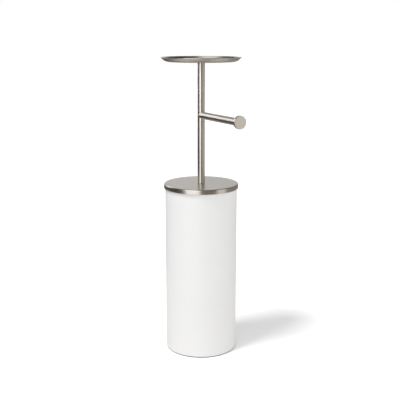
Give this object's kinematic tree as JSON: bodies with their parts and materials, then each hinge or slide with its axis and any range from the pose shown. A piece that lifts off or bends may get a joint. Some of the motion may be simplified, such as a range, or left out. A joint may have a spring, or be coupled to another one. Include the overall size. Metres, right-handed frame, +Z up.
{
  "type": "toilet roll storage stand",
  "caption": "Free-standing toilet roll holder: white canister for spare rolls under a lift-off brushed nickel lid with a pole, a side arm for the roll in use and a shallow round tray.",
  "frame": {"origin": "centre of the foot pad's underside, on the floor", "axes": "+Z up along the canister and pole, +X along the side arm, XZ plane of symmetry"},
  "size_m": [0.2347, 0.163, 0.6195],
  "materials": {
    "white_coat": "white satin powder coat on rolled steel",
    "brushed_nickel": "fine brushed, warm nickel plate",
    "white_plastic": "moulded, fine matte",
    "pad_rubber": "dark foam rubber",
    "seal_rubber": "soft grey silicone",
    "sheet_steel": "zinc-coated pressed sheet",
    "zinc_steel": "bright zinc plate",
    "cast_iron": "rough cast, dark primer"
  },
  "bodies": {
    "canister": {"canister_tube": "white_coat", "mouth_trim": "white_plastic", "base_pan": "sheet_steel", "ballast_plate": "cast_iron", "ballast_studs": "zinc_steel", "ballast_nuts": "zinc_steel", "floor_liner": "white_plastic", "foot_pad": "pad_rubber"},
    "seal": {"lid_seal": "seal_rubber"},
    "lid": {"lid_cap": "brushed_nickel", "lid_stiffener": "sheet_steel", "lid_plug": "white_plastic", "pole_washer": "zinc_steel", "pole_lock_washer": "zinc_steel", "pole_bolt": "zinc_steel", "pole_tube": "brushed_nickel", "pole_foot_plug": "zinc_steel", "pole_top_plug": "zinc_steel", "arm_tube": "brushed_nickel", "arm_barrel_nut": "zinc_steel", "arm_stud": "zinc_steel", "arm_root_plug": "zinc_steel", "arm_end_cap": "brushed_nickel", "tray_dish": "brushed_nickel", "tray_stud": "zinc_steel"}
  },
  "joints": [
    {"name": "lid_lift", "type": "slide", "parent": "canister", "child": "seal", "axis": [0, 0, 1], "range_m": [0, 0.2]},
    {"name": "lid_turn", "type": "hinge", "parent": "seal", "child": "lid", "pos_m": [0, 0, 0.3562], "axis": [0, 0, 1], "continuous": true}
  ]
}
